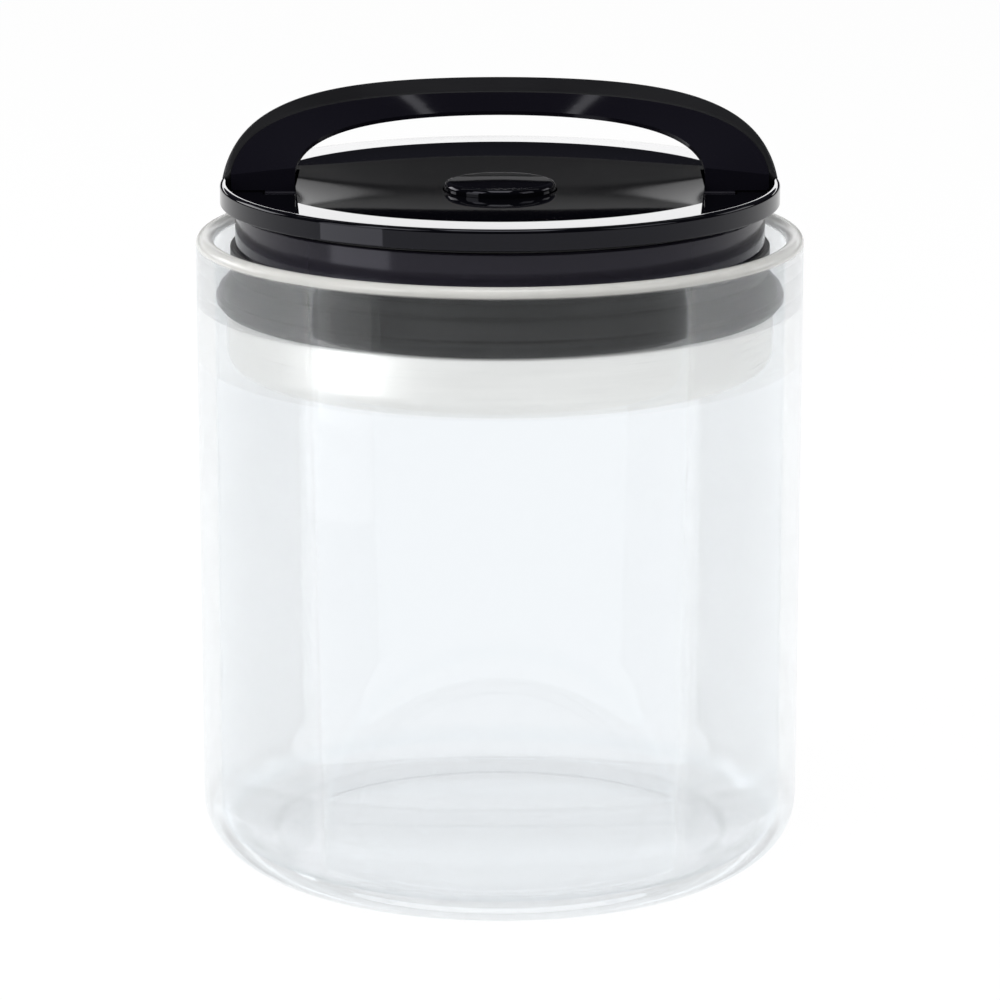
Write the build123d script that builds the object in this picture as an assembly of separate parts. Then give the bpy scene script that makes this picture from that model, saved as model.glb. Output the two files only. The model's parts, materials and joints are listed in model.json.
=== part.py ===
from build123d import *
import os
from math import cos, radians, sin, sqrt

# A vacuum seal canister: a glass jar with a lid that is pushed down inside it and sealed by a rubber gasket.
# Sizes are in millimetres. The origin is the centre of the jar's base, +Z is up and the front faces -Y.
# The handle is drawn folded flat, with its grip towards +Y.

# Glass jar
jar_radius = 60
jar_height = 126.5
jar_wall = 3.5
jar_floor = 5
base_round = 12
floor_round = 4
rim_round = 1.7
foot_width = 2
punt_depth = 1

# Heights of the lid in the jar
gasket_below_rim = 2
gasket_height = 12.3
pan_depth = 12.3
ring_above_rim = 6
ring_height = 4.2

# Gasket: its outer face is given by shares of its height and of the lip's overhang past the collar
lip_gap = 0.3
gasket_seat_depth = 1.5
gasket_foot_reach = 3.3
gasket_foot_height = 1.2
gasket_shares = (
    (0.72, 0),
    (1, 0.11),
    (1, 0.2),
    (0.8, 0.25),
    (0.88, 0.29),
    (0.5, 0.42),
    (0.16, 0.55),
    (0.26, 0.6),
    (0.26, 0.78),
    (0.18, 0.8),
    (0.26, 0.82),
    (0.26, 0.97),
    (0.16, 1),
)

# Steel pan
pan_gap = 2.4
pan_wall = 0.6
pan_round = 4
pan_rim_round = 0.5

# Collar housing
ring_gap = 1.3
ring_overhang = 2.9
collar_wall = 2.1
collar_edge = 0.5
housing_inset = 1.8
housing_step = 2
housing_floor = 2.2
tube_radius = 14
shoulder_width = 4
spigot_wall = 2.5
spigot_length = 3.5
spigot_gap = 0.3
pan_seal_height = 1.2
guide_post_radius = 2
guide_post_inset = 11.3
guide_post_past = 1.5

# Inlet under the pan
nut_wall = 3
nut_flange_width = 3
nut_flange = 1.7
nut_lip = 1
screen_height = 0.8
screen_edge_gap = 0.2
screen_hole = 0.8
screen_pitch = 2.9
screen_rings = 2

# Top cover
ring_edge = 0.8
cover_seal_height = 0.8
cover_seal_inset = 0.1
skirt_gap = 0.1
skirt_wall = 1.2
skirt_depth = 5.5
deck_width = 8.5
deck_wall = 1.5
dish_depth = 2
dish_wall = 1
button_gap = 0.3
button_guide_wall = 1
button_guide_depth = 1.7

# Pockets that the handle's legs stand in
pocket_depth = 2.5
pocket_reach = 15.1
pocket_rim = 1.1
pocket_back = 14
pocket_slant = 2.7
slant_place = -5
tray_wall = 1.2

# Hinge
hinge_place = -0.5
hinge_below_deck = 4.3
handle_travel = 72
barrel_radius = 2.2
barrel_gap = 0.4
knuckle_length = 5.8
trunnion_past = 0.2
swing_gap = 0.2
front_lean = 12
foot_gap = 0.3
foot_sink = 0.5
foot_angles = (-3, 0, 4, 8)
neck_length = 6.5
neck_height = 5
neck_thin = 1.4
neck_slope = 50
neck_room = 5.4
bush_length = 1.5
bush_wall = 0.75
running_gap = 0.05
hinge_pin_radius = 1
hinge_pin_grip = 4.1
hinge_pin_past = 1.5

# Lift: pins set off the hinge's axis raise a bar, and the bar raises the valve
valve_lift = 1.6
lift_pin_radius = 0.7
lift_pin_grip = 3
lift_pin_past = 0.3
slot_gap = 0.08
ear_gap = 0.3
ear_length = 1.8
ear_width = 3.8
ear_wall = 0.7
bar_below_hinge = 2.4
bar_height = 2.4
bar_width = 7
hub_radius = 5.5
hub_above = 0.4
hub_below = 1.6
guide_gap = 0.1

# Valve
seat_width = 4
seat_sink = 1
seat_height = 2
disc_overlap = 2.5
disc_height = 1.4
disc_hub_radius = 4
disc_hub_height = 3
stem_radius = 1.5
stem_head_radius = 2.6
stem_head_height = 0.8
stem_below_button = 1.8
clip_radius = 3
clip_height = 0.8
spring_inner = 2.4
spring_outer = 3.2
button_radius = 11
button_below_deck = 0.1
button_height = 5.6
button_wall = 1.2
button_round = 0.8
button_hub_radius = 3
button_hub_height = 5

# Cover screws
screw_inset = 2.7
screw_angles = (60, 120, 240, 300)
screw_radius = 1.2
screw_gap = 0.2
screw_length = 13.2
screw_end_gap = 1
screw_head_radius = 2.6
screw_head_height = 1.6
screw_boss_radius = 3.2

# Handle: each edge is a curve in plan, bent along an arc seen from the side. The arc's inset is from the
# ring, its drop is below the handle's top, and its end is the height above the deck beside the hinge.
handle_rise = 12.5
handle_width = 14.8
outer_end = -1.9
under_drop = 7.5
under_end = -2.9
crease_side = 2
crease_back = 10.2
crease_drop = 1.8
crease_inset = 5.2
crease_end = 0.05
inner_drop = 5.1
inner_inset = 10.2
inner_end = 1.55
inner_edge = 0.8
station_angles = (-1, 5, 12, 20, 30, 45, 60, 75)
room_angles = (0, 3, 6, 10, 14, 18)
room_gap = 0.3

# Every cut runs past the face that it opens
overrun = 2

# Heights that follow
gasket_top = jar_height - gasket_below_rim
gasket_base = gasket_top - gasket_height
pan_base = gasket_base - pan_depth
ring_base = jar_height + ring_above_rim
deck_top = ring_base + ring_height
collar_top = ring_base - cover_seal_height
floor_base = gasket_base + gasket_foot_height
floor_top = floor_base + housing_floor
shoulder = pan_base + pan_wall + pan_seal_height
spigot_base = shoulder - spigot_length
hinge_height = deck_top - hinge_below_deck
pocket_floor = deck_top - pocket_depth
seat_base = floor_top - seat_sink
seat_top = seat_base + seat_height
bar_top = hinge_height - bar_below_hinge
bar_base = bar_top - bar_height
button_top = deck_top - button_below_deck
button_base = button_top - button_height
stem_top = button_top - stem_below_button
handle_top = deck_top + handle_rise

# Round places that follow, from the glass inwards
bore_radius = jar_radius - jar_wall
lip_radius = bore_radius - lip_gap
punt_radius = jar_radius - base_round - foot_width - punt_depth
pan_radius = bore_radius - pan_gap
ring_radius = bore_radius - ring_gap
collar_radius = ring_radius - ring_overhang
collar_bore = collar_radius - collar_wall
housing_bore = collar_bore - housing_inset
gasket_seat_radius = collar_radius - gasket_seat_depth
gasket_foot_radius = gasket_seat_radius - gasket_foot_reach
cover_seal_inner = collar_bore + cover_seal_inset
cover_seal_outer = collar_radius - collar_edge
skirt_radius = collar_bore - skirt_gap
tray_radius = skirt_radius - skirt_wall / 2
spigot_radius = tube_radius - shoulder_width
tube_bore = spigot_radius - spigot_wall
nut_hub_radius = spigot_radius + nut_wall
nut_radius = nut_hub_radius + nut_flange_width
seat_radius = tube_bore + seat_width
disc_radius = tube_bore + disc_overlap
dish_radius = ring_radius - deck_width
dish_sweep = (dish_radius ** 2 + dish_depth ** 2) / (2 * dish_depth)
pocket_radius = ring_radius - pocket_rim
hole_radius = button_radius + button_gap
screw_circle = dish_radius - screw_inset

# Places along the hinge's axis that follow, from the pocket's wall outwards and inwards
pocket_wall_place = ring_radius - pocket_reach
knuckle_start = pocket_wall_place + barrel_gap
knuckle_end = knuckle_start + knuckle_length
room_end = knuckle_end + barrel_gap
hinge_pin_start = knuckle_end - hinge_pin_grip
hinge_pin_end = knuckle_end + hinge_pin_past
wall_inner = pocket_wall_place - bush_length
trunnion_end = wall_inner - trunnion_past
ear_end = trunnion_end - ear_gap
ear_start = ear_end - ear_length
lift_pin_start = ear_start - lift_pin_past
lift_pin_end = trunnion_end + lift_pin_grip
guide_post_place = ear_start - guide_post_inset

# Path of the lift pins: half of the handle's travel lies above the hinge's level and half below
boss_reach = barrel_radius + barrel_gap + skirt_wall
half_travel = radians(handle_travel / 2)
lift_arm = valve_lift / (2 * sin(half_travel))
lift_pin_y = hinge_place + lift_arm * cos(half_travel)
lift_pin_z = hinge_height - lift_arm * sin(half_travel)


def turned(points, rounds=()):
    """Turn an outline of (radius, height) corners about Z; rounds holds (corner number, radius) pairs."""
    outline = make_face(Polyline(*points, close=True))
    for number, size in rounds:
        corner = outline.vertices().sort_by_distance(points[number])[0]
        outline = fillet(corner, size)
    return revolve(Plane.XZ * outline, Axis.Z)


def tube(outer, inner, low, high):
    """A plain ring about Z."""
    return turned(((inner, low), (outer, low), (outer, high), (inner, high)))


def post(radius, low, high, x=0):
    """A round post that stands along Z."""
    column = Cylinder(radius, high - low, align=(Align.CENTER, Align.CENTER, Align.MIN))
    return Pos(x, 0, low) * column


def axle(radius, start, end, y=hinge_place, z=hinge_height):
    """A round bar along X between two places, about the hinge's axis unless told otherwise."""
    bar = Cylinder(radius, end - start, align=(Align.CENTER, Align.CENTER, Align.MIN))
    return Plane.YZ.offset(start) * Pos(y, z) * bar


def block(x_range, y_range, z_range):
    """A box between two places on each axis."""
    sizes = [high - low for low, high in (x_range, y_range, z_range)]
    box = Box(*sizes, align=(Align.MIN, Align.MIN, Align.MIN))
    return Pos(x_range[0], y_range[0], z_range[0]) * box


def both_sides(piece):
    """The piece and its mirror image across the middle of the lid."""
    return piece + mirror(piece, about=Plane.YZ)


def dish_level(radius):
    """Height of the dish's hollow face at a distance from the middle."""
    return deck_top - dish_depth + dish_sweep - sqrt(dish_sweep ** 2 - radius ** 2)


def dish_arc(start, end, drop):
    """The dish's hollow face, or its underside, between two radii."""
    radii = (start, (start + end) / 2, end)
    return ThreePointArc(*((radius, dish_level(radius) - drop) for radius in radii))


def glass_jar():
    """Straight-walled jar with a thick floor, a hollow under the base and a rounded rim."""
    points = (
        (0, punt_depth),
        (punt_radius, punt_depth),
        (punt_radius + punt_depth, 0),
        (jar_radius, 0),
        (jar_radius, jar_height),
        (bore_radius, jar_height),
        (bore_radius, jar_floor),
        (0, jar_floor),
    )
    rounds = ((3, base_round), (4, rim_round), (5, rim_round), (6, floor_round))
    return turned(points, rounds)


def gasket():
    """Rubber ring with a flared wiping lip; its foot is clamped between the housing and the pan."""
    overhang = lip_radius - collar_radius
    outer = [
        (collar_radius + share * overhang, gasket_base + level * gasket_height)
        for share, level in gasket_shares
    ]
    inner = [
        (gasket_seat_radius, gasket_top),
        (gasket_seat_radius, floor_base),
        (gasket_foot_radius, floor_base),
        (gasket_foot_radius, gasket_base),
    ]
    return turned(outer + inner)


def steel_pan():
    """Thin pressed pan; its rim turns inwards under the gasket's foot."""
    inside = pan_radius - pan_wall
    points = (
        (gasket_foot_radius, gasket_base),
        (pan_radius, gasket_base),
        (pan_radius, pan_base),
        (spigot_radius + spigot_gap, pan_base),
        (spigot_radius + spigot_gap, pan_base + pan_wall),
        (inside, pan_base + pan_wall),
        (inside, gasket_base - pan_wall),
        (gasket_foot_radius, gasket_base - pan_wall),
    )
    rounds = ((1, pan_rim_round), (2, pan_round), (5, pan_round - pan_wall))
    return turned(points, rounds)


def collar_housing():
    """Cup that carries the gasket and the pan, with the valve's tube and the lift bar's two guide posts."""
    points = (
        (tube_bore, spigot_base),
        (tube_bore, seat_base),
        (seat_radius, seat_base),
        (seat_radius, floor_top),
        (housing_bore, floor_top),
        (housing_bore, gasket_top + housing_step),
        (collar_bore, gasket_top + housing_step),
        (collar_bore, collar_top),
        (collar_radius, collar_top),
        (collar_radius, gasket_top),
        (gasket_seat_radius, gasket_top),
        (gasket_seat_radius, floor_base),
        (tube_radius, floor_base),
        (tube_radius, shoulder),
        (spigot_radius, shoulder),
        (spigot_radius, spigot_base),
    )
    cup = turned(points, ((8, collar_edge),))
    guide = post(guide_post_radius, floor_top, bar_top + guide_post_past, guide_post_place)
    holes = screw_places(post(screw_radius + screw_gap, floor_base - overrun, floor_top + overrun))
    return cup + both_sides(guide) - holes


def screw_places(piece):
    """Copies of a piece at the four cover screws."""
    return Part() + [Rot(0, 0, angle) * Pos(screw_circle, 0, 0) * piece for angle in screw_angles]


def cover_screws():
    """Four screws driven up through the housing's floor into the cover's bosses."""
    head = post(screw_head_radius, floor_base - screw_head_height, floor_base)
    shank = post(screw_radius, floor_base, floor_base + screw_length)
    return screw_places(head + shank)


def pan_seal():
    """Washer between the tube's shoulder and the pan."""
    return tube(tube_radius, spigot_radius, pan_base + pan_wall, shoulder)


def inlet_nut():
    """Flanged nut that clamps the pan; its lip holds the screen against the spigot's end."""
    lip_top = spigot_base - screen_height
    points = (
        (tube_bore, lip_top - nut_lip),
        (nut_hub_radius, lip_top - nut_lip),
        (nut_hub_radius, pan_base - nut_flange),
        (nut_radius, pan_base - nut_flange),
        (nut_radius, pan_base),
        (spigot_radius, pan_base),
        (spigot_radius, lip_top),
        (tube_bore, lip_top),
    )
    return turned(points)


def inlet_screen():
    """Perforated disc that keeps food out of the valve."""
    low = spigot_base - screen_height
    disc = post(spigot_radius - screen_edge_gap, low, spigot_base)
    hole = post(screen_hole, low - overrun, spigot_base + overrun)
    holes = [hole]
    for ring in range(1, screen_rings + 1):
        count = 6 * ring
        for step in range(count):
            holes.append(Rot(0, 0, 360 * step / count) * Pos(ring * screen_pitch, 0, 0) * hole)
    return disc - holes


def cover_body():
    """Ring, flat deck and hollow dish, with a skirt that drops inside the collar."""
    skirt_inner = skirt_radius - skirt_wall
    guide_radius = hole_radius + button_guide_wall
    guide_base = dish_level(hole_radius) - dish_wall - button_guide_depth
    top_face = dish_arc(hole_radius, dish_radius, 0)
    under_face = dish_arc(guide_radius, dish_radius, dish_wall)
    edge = Polyline(
        (dish_radius, deck_top),
        (ring_radius, deck_top),
        (ring_radius, ring_base),
        (skirt_radius, ring_base),
        (skirt_radius, ring_base - skirt_depth),
        (skirt_inner, ring_base - skirt_depth),
        (skirt_inner, deck_top - deck_wall),
        (dish_radius, deck_top - dish_wall),
    )
    guide = Polyline(
        (guide_radius, dish_level(guide_radius) - dish_wall),
        (guide_radius, guide_base),
        (hole_radius, guide_base),
        (hole_radius, dish_level(hole_radius)),
    )
    outline = make_face([*top_face.edges(), *edge.edges(), *under_face.edges(), *guide.edges()])
    outline = fillet(outline.vertices().sort_by_distance((ring_radius, deck_top))[0], ring_edge)
    outline = fillet(outline.vertices().sort_by_distance((ring_radius, ring_base))[0], ring_edge / 2)
    return revolve(Plane.XZ * outline, Axis.Z)


def pocket_block(grow, low, high):
    """Block over a pocket, grown by a wall; its inner side slants towards the middle at the front."""
    wall = pocket_wall_place - grow
    back = pocket_back + grow
    points = (
        (wall, back),
        (wall, slant_place),
        (wall - pocket_slant, -ring_radius),
        (ring_radius, -ring_radius),
        (ring_radius, back),
    )
    plan = make_face(Polyline(*points, close=True))
    return Pos(0, 0, low) * extrude(plan, high - low)


def hinge_boss():
    """Walls that close the hinge's room below the deck, and the tray under the leg's pocket."""
    walls = block(
        (wall_inner, room_end + skirt_wall),
        (hinge_place - boss_reach, hinge_place + neck_room + skirt_wall),
        (hinge_height - boss_reach, deck_top - deck_wall),
    )
    tray = post(tray_radius, pocket_floor - tray_wall, deck_top - dish_wall)
    return walls + (tray & pocket_block(tray_wall, pocket_floor - tray_wall - overrun, deck_top))


def leg_pocket():
    """Hollow in the deck beside the dish, open above, with a room for the hinge's barrel and neck."""
    lens = post(pocket_radius, pocket_floor, deck_top + overrun)
    side = pocket_block(0, pocket_floor, deck_top + overrun)
    barrel_room = axle(barrel_radius + barrel_gap, pocket_wall_place, room_end)
    neck_slot = block(
        (pocket_wall_place, room_end),
        (hinge_place, hinge_place + neck_room),
        (hinge_height - barrel_radius - barrel_gap, deck_top),
    )
    bush_outer = barrel_radius + running_gap + bush_wall
    bush_hole = axle(bush_outer, wall_inner - overrun, pocket_wall_place + overrun)
    pin_hole = axle(hinge_pin_radius + running_gap, room_end - overrun, hinge_pin_end + running_gap)
    return (lens & side) + barrel_room + neck_slot + bush_hole + pin_hole


def grip_room():
    """Recess in the ring's edge under the grip; its front end is rounded about the hinge's axis."""
    sections = []
    for angle in room_angles:
        side, back = cos(radians(angle)), sin(radians(angle))
        level = ring_radius * back
        low = under_level(level) - room_gap
        high = outer_level(level) + overrun
        near = crease_radius(angle) - room_gap
        far = ring_radius + overrun
        corners = ((near, low), (far, low), (far, high), (near, high))
        points = [(radius * side, radius * back, z) for radius, z in corners]
        sections.append(make_face(Polyline(*points, close=True)))
    cheek = axle(hinge_below_deck, room_end, ring_radius + 2 * overrun)
    return loft(sections) - cheek


def top_cover():
    """Gloss cover: ring, deck and dish, with pockets for the handle's legs and bosses for the screws."""
    boss = post(screw_boss_radius, floor_top, deck_top - dish_wall)
    hole = post(screw_radius, floor_top - overrun, floor_base + screw_length + screw_end_gap)
    cover = cover_body() + screw_places(boss) + both_sides(hinge_boss())
    cover = cover - both_sides(leg_pocket()) - both_sides(grip_room())
    return cover - screw_places(hole)


def cover_seal():
    """Flat ring between the collar and the cover."""
    return tube(cover_seal_outer, cover_seal_inner, collar_top, ring_base)


def hinge_bush():
    """Sleeve that the handle's trunnion turns in."""
    inner = barrel_radius + running_gap
    return axle(inner + bush_wall, wall_inner, pocket_wall_place) - axle(inner, wall_inner, pocket_wall_place)


def arc_level(y, inset, drop, end):
    """Height of a handle edge seen from the side: an arc from its end by the hinge up to its top."""
    apex = ring_radius - inset
    fall = handle_rise - drop - end
    sweep = (apex ** 2 + fall ** 2) / (2 * fall)
    return handle_top - drop - sweep + sqrt(sweep ** 2 - (apex - y) ** 2)


def outer_level(y):
    """Height of the handle's outer edge."""
    return arc_level(y, 0, 0, outer_end)


def under_level(y):
    """Height of the underside below the outer edge, where the grip grows thick towards the back."""
    return arc_level(y, 0, under_drop, under_end)


def crease_level(y):
    """Height of the crease between the grip and the frame."""
    return arc_level(y, crease_inset, crease_drop, crease_end)


def inner_level(y):
    """Height of the handle's inner edge."""
    return arc_level(y, inner_inset, inner_drop, inner_end)


def crease_radius(angle):
    """Distance of the crease from the middle: an ellipse that leaves the grip wide at the back."""
    across = cos(radians(angle)) / (ring_radius - crease_side)
    along = sin(radians(angle)) / (ring_radius - crease_back)
    return 1 / sqrt(across ** 2 + along ** 2)


def handle_corners(angle):
    """Corners of the handle's cross-section in the plane through Z at an angle."""
    side, back = cos(radians(angle)), sin(radians(angle))
    crease = crease_radius(angle)
    inner = ring_radius - handle_width
    outer_high = outer_level(ring_radius * back)
    outer_low = under_level(ring_radius * back)
    inner_high = inner_level(inner * back)
    inner_low = inner_high - inner_edge
    share = (ring_radius - crease) / handle_width
    corners = {
        "outer_high": (ring_radius, outer_high),
        "outer_low": (ring_radius, outer_low),
        "inner_high": (inner, inner_high),
        "inner_low": (inner, inner_low),
        "crease_high": (crease, crease_level(crease * back)),
        "crease_low": (crease, outer_low + share * (inner_low - outer_low)),
    }
    return {name: (radius * side, radius * back, z) for name, (radius, z) in corners.items()}


def handle_loft(names):
    """Solid through the same corners of every cross-section, from one leg round to the other."""
    angles = list(station_angles) + [90] + [180 - angle for angle in reversed(station_angles)]
    sections = []
    for angle in angles:
        corners = handle_corners(angle)
        sections.append(make_face(Polyline(*(corners[name] for name in names), close=True)))
    return loft(sections)


def swing_cut(distance, x_range):
    """Everything nearer the hinge's axis than a face that lies level when the handle is fully raised."""
    travel = radians(handle_travel)
    raised = Plane((0, hinge_place, hinge_height), x_dir=(1, 0, 0), z_dir=(0, sin(travel), cos(travel)))
    middle = (x_range[0] + x_range[1]) / 2
    cut = Box(x_range[1] - x_range[0], ring_radius, ring_radius)
    return raised * Pos(middle, 0, distance - ring_radius / 2) * cut


def front_cut():
    """Everything in front of the leg's end face, which leans back above the pocket's floor."""
    level = pocket_floor + swing_gap
    travel = radians(handle_travel)
    place = hinge_place + (level - hinge_height) * (1 - cos(travel)) / sin(travel)
    lean = radians(front_lean)
    face = Plane((0, place, level), x_dir=(1, 0, 0), z_dir=(0, -cos(lean), sin(lean)))
    ahead = Box(2 * ring_radius, ring_radius, ring_radius, align=(Align.CENTER, Align.CENTER, Align.MIN))
    above = block((-ring_radius, ring_radius), (-ring_radius, ring_radius), (level, handle_top))
    return (face * ahead) & above


def leg_foot():
    """Foot that closes the space between the handle's band and the pocket's floor."""
    floor_level = pocket_floor + swing_gap
    inner = ring_radius - handle_width
    sections = []
    for angle in foot_angles:
        side, back = cos(radians(angle)), sin(radians(angle))
        outer = crease_radius(angle) - foot_gap
        corners = handle_corners(angle)
        outer_top = max(corners["crease_low"][2], floor_level) + foot_sink
        inner_top = max(corners["inner_low"][2], floor_level) + foot_sink
        outline = ((outer, outer_top), (outer, floor_level), (inner, floor_level), (inner, inner_top))
        points = [(radius * side, radius * back, z) for radius, z in outline]
        sections.append(make_face(Polyline(*points, close=True)))
    clear = block((knuckle_start, ring_radius), (-ring_radius, ring_radius), (floor_level, handle_top))
    return loft(sections) & clear


def handle_frame():
    """Gloss inner band of the handle with feet, necks, barrels and trunnions at its two legs."""
    band = handle_loft(("crease_high", "crease_low", "inner_low", "inner_high"))
    slope = radians(neck_slope)
    profile = (
        (0, 0),
        (barrel_radius * cos(slope), -barrel_radius * sin(slope)),
        (neck_length, neck_height - neck_thin),
        (neck_length, neck_height),
        (0, neck_height),
    )
    outline = make_face(Polyline(*profile, close=True))
    side = Plane.YZ.offset(knuckle_start) * Pos(hinge_place, hinge_height)
    neck = extrude(side * outline, knuckle_length)
    across = (-ring_radius - overrun, ring_radius + overrun)
    floor_cut = swing_cut(pocket_floor - hinge_height + swing_gap, across)
    barrel = axle(barrel_radius, trunnion_end, knuckle_end)
    pin_hole = axle(hinge_pin_radius, hinge_pin_start, knuckle_end + overrun)
    lift_hole = axle(lift_pin_radius, trunnion_end - overrun, lift_pin_end, lift_pin_y, lift_pin_z)
    frame = band + both_sides(neck) + both_sides(leg_foot()) - floor_cut - front_cut()
    return frame + both_sides(barrel) - both_sides(pin_hole) - both_sides(lift_hole)


def handle_grip():
    """Matt outer band of the handle."""
    band = handle_loft(("outer_high", "outer_low", "crease_low", "crease_high"))
    front = swing_cut(hinge_below_deck + swing_gap, (-ring_radius - overrun, ring_radius + overrun))
    return band - front


def hinge_pin():
    """Steel pin pressed into the knuckle, which turns in the outer wall of the hinge's room."""
    return axle(hinge_pin_radius, hinge_pin_start, hinge_pin_end)


def lift_pin():
    """Steel pin in the trunnion's end, set off the axis so that it rises as the handle is raised."""
    return axle(lift_pin_radius, lift_pin_start, lift_pin_end, lift_pin_y, lift_pin_z)


def lift_bar():
    """Bar across the lid that the lift pins raise; its hub carries the valve's stem."""
    ear_top = lift_pin_z + lift_pin_radius + slot_gap + ear_wall
    span = block((-ear_end, ear_end), (-bar_width / 2, bar_width / 2), (bar_base, bar_top))
    hub = post(hub_radius, bar_base - hub_below, bar_top + hub_above)
    ear = block(
        (ear_start, ear_end),
        (lift_pin_y - ear_width / 2, lift_pin_y + ear_width / 2),
        (bar_base, ear_top),
    )
    ends = [hinge_place + lift_arm * cos(half_travel), hinge_place + lift_arm]
    pin_room = lift_pin_radius + slot_gap
    across = (ear_start - overrun, ear_end + overrun)
    slot = block(across, ends, (lift_pin_z - pin_room, lift_pin_z + pin_room))
    for y in ends:
        slot += axle(pin_room, *across, y, lift_pin_z)
    stem_hole = post(stem_radius + guide_gap, bar_base - hub_below - overrun, bar_top + hub_above + overrun)
    post_hole = post(guide_post_radius + guide_gap, bar_base - overrun, bar_top + overrun, guide_post_place)
    return span + hub + both_sides(ear) - both_sides(slot) - stem_hole - both_sides(post_hole)


def valve_seat():
    """Ring let into the housing's floor that the valve's disc closes on."""
    return tube(seat_radius, tube_bore, seat_base, seat_top)


def valve_stem():
    """Steel stem from the disc up to the button, with a head under the disc."""
    head = post(stem_head_radius, seat_top - stem_head_height, seat_top)
    return head + post(stem_radius, seat_top, stem_top)


def valve_disc():
    """Rubber disc and its hub."""
    points = (
        (stem_radius, seat_top),
        (disc_radius, seat_top),
        (disc_radius, seat_top + disc_height),
        (disc_hub_radius, seat_top + disc_height),
        (disc_hub_radius, seat_top + disc_hub_height),
        (stem_radius, seat_top + disc_hub_height),
    )
    return turned(points)


def stem_clip():
    """Ring on the stem that rests on the lift bar's hub."""
    return tube(clip_radius, stem_radius, bar_top + hub_above, bar_top + hub_above + clip_height)


def valve_spring():
    """Plain sleeve in place of the light coil between the bar's hub and the disc."""
    return tube(spring_outer, spring_inner, seat_top + disc_hub_height, bar_base - hub_below)


def valve_button():
    """Round button in the middle of the dish: a cap with a skirt and a hub on the stem."""
    cap_base = button_top - button_wall
    hub_base = cap_base - button_hub_height + button_wall
    points = (
        (0, button_top),
        (button_radius, button_top),
        (button_radius, button_base),
        (button_radius - button_wall, button_base),
        (button_radius - button_wall, cap_base),
        (button_hub_radius, cap_base),
        (button_hub_radius, hub_base),
        (stem_radius, hub_base),
        (stem_radius, stem_top),
        (0, stem_top),
    )
    return turned(points, ((1, button_round),))


def mirrored(piece):
    """The same piece on the left."""
    return mirror(piece, about=Plane.YZ)


nodes = {
    "glass_jar": glass_jar(),
    "gasket": gasket(),
    "steel_pan": steel_pan(),
    "collar_housing": collar_housing(),
    "top_cover": top_cover(),
    "cover_seal": cover_seal(),
    "cover_screws": cover_screws(),
    "pan_seal": pan_seal(),
    "inlet_nut": inlet_nut(),
    "inlet_screen": inlet_screen(),
    "hinge_bush_right": hinge_bush(),
    "hinge_bush_left": mirrored(hinge_bush()),
    "handle_frame": handle_frame(),
    "handle_grip": handle_grip(),
    "hinge_pin_right": hinge_pin(),
    "hinge_pin_left": mirrored(hinge_pin()),
    "lift_pin_right": lift_pin(),
    "lift_pin_left": mirrored(lift_pin()),
    "lift_bar": lift_bar(),
    "valve_seat": valve_seat(),
    "valve_stem": valve_stem(),
    "valve_disc": valve_disc(),
    "stem_clip": stem_clip(),
    "valve_spring": valve_spring(),
    "valve_button": valve_button(),
}

os.makedirs("parts", exist_ok=True)
for name, shape in nodes.items():
    export_step(shape, f"parts/{name}.step")
    box = shape.bounding_box()
    print(name, len(shape.solids()), round(shape.volume), box.min, box.max)
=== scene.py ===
# %% [markdown]
# # A vacuum seal canister
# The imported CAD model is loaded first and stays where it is. Everything after that adds light, a
# camera, materials, and finer meshes for the pieces whose soft edges catch the light.

# %% Load the frame
import json
import math

import bmesh
import bpy
from mathutils import Matrix, Vector

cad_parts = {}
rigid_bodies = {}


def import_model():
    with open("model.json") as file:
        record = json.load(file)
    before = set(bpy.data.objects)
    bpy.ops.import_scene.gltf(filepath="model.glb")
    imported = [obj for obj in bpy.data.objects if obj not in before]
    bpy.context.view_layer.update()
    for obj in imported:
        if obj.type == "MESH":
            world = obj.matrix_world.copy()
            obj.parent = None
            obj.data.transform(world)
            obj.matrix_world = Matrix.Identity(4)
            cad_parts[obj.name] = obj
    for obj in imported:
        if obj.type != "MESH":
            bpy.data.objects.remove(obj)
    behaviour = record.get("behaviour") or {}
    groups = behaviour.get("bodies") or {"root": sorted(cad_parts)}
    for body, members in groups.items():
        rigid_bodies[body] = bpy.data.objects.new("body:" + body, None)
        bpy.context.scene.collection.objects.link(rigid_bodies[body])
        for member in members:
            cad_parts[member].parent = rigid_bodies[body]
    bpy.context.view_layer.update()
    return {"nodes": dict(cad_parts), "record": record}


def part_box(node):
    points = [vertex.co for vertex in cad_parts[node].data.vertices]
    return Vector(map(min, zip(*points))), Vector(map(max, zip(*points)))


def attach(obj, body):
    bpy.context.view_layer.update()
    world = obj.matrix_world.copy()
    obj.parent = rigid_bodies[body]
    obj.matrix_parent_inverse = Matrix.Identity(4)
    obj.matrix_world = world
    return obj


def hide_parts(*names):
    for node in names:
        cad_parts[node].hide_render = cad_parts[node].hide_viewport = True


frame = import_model()
nodes = frame["nodes"]
scene = bpy.context.scene

# %% [markdown]
# ## Camera
# The camera was fitted to the outline of the jar in the photograph: a long lens, about fourteen
# degrees above the horizon and ninety centimetres away.

# %% Camera
CAMERA_DISTANCE = 0.9037
CAMERA_PITCH = math.radians(13.785)
CAMERA_AIM = Vector((0, 0, 0.07167))
CAMERA_LENS = 162.15
NEAREST_SEEN = 0.05
FARTHEST_SEEN = 20

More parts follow.
